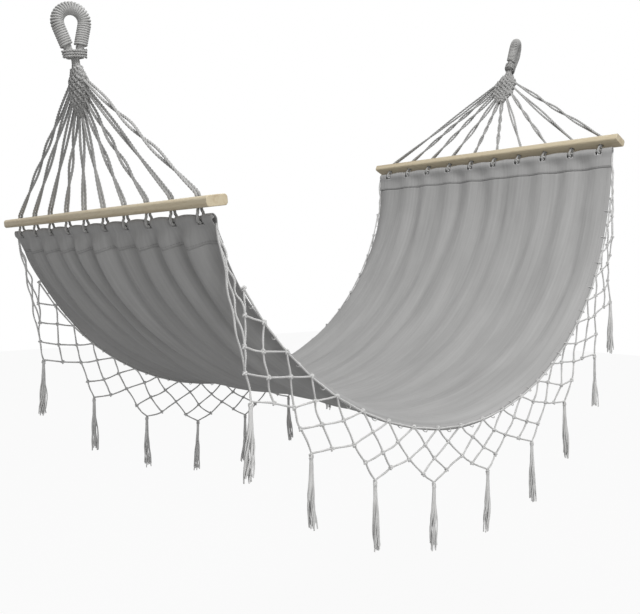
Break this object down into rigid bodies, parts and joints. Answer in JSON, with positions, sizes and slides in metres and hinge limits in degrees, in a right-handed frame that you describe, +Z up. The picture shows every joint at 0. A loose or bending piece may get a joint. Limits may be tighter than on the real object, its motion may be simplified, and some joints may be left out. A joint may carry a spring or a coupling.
{
  "type": "hammock",
  "caption": "Canvas hammock with two wooden spreader bars, cord fans gathered to served hanging loops, knotted side nets and tassels, hanging in its curve.",
  "frame": {"origin": "where the near hook bears inside the near hanging loop; the hammock hangs below it", "axes": "+X along the hammock from the near end to the far end, +Y across it along the spreader bars, +Z up"},
  "size_m": [1.462, 0.8, 1.2155],
  "materials": {
    "canvas": "matt woven cotton canvas",
    "cord": "matt twisted cotton cord",
    "net_cord": "matt thin cotton cord",
    "bar_wood": "smooth pale wood, clear satin"
  },
  "bodies": {
    "hanging_loops": {"near_loop": "cord", "near_loop_serving": "cord", "near_loop_whipping": "cord", "far_loop": "cord", "far_loop_serving": "cord", "far_loop_whipping": "cord"},
    "hammock": {"near_knot": "cord", "near_cord_01": "cord", "near_cord_02": "cord", "near_cord_03": "cord", "near_cord_04": "cord", "near_cord_05": "cord", "near_cord_06": "cord", "near_cord_07": "cord", "near_cord_08": "cord", "near_cord_09": "cord", "near_cord_10": "cord", "near_spreader_bar": "bar_wood", "near_hem_cord": "cord", "near_hem": "canvas", "far_knot": "cord", "far_cord_01": "cord", "far_cord_02": "cord", "far_cord_03": "cord", "far_cord_04": "cord", "far_cord_05": "cord", "far_cord_06": "cord", "far_cord_07": "cord", "far_cord_08": "cord", "far_cord_09": "cord", "far_cord_10": "cord", "far_spreader_bar": "bar_wood", "far_hem_cord": "cord", "far_hem": "canvas", "bed": "canvas", "left_net": "net_cord", "left_edge_ties": "net_cord", "left_tassel_1": "net_cord", "left_tassel_2": "net_cord", "left_tassel_3": "net_cord", "left_tassel_4": "net_cord", "left_tassel_5": "net_cord", "left_tassel_6": "net_cord", "left_tassel_7": "net_cord", "left_tassel_8": "net_cord", "left_tassel_9": "net_cord", "right_net": "net_cord", "right_edge_ties": "net_cord", "right_tassel_1": "net_cord", "right_tassel_2": "net_cord", "right_tassel_3": "net_cord", "right_tassel_4": "net_cord", "right_tassel_5": "net_cord", "right_tassel_6": "net_cord", "right_tassel_7": "net_cord", "right_tassel_8": "net_cord", "right_tassel_9": "net_cord"}
  },
  "joints": [
    {"name": "swing", "type": "hinge", "parent": "hanging_loops", "child": "hammock", "pos_m": [0.01183, 0, -0.08417], "axis": [0.9906, 0, 0.1366], "range_deg": [-35, 35]}
  ]
}
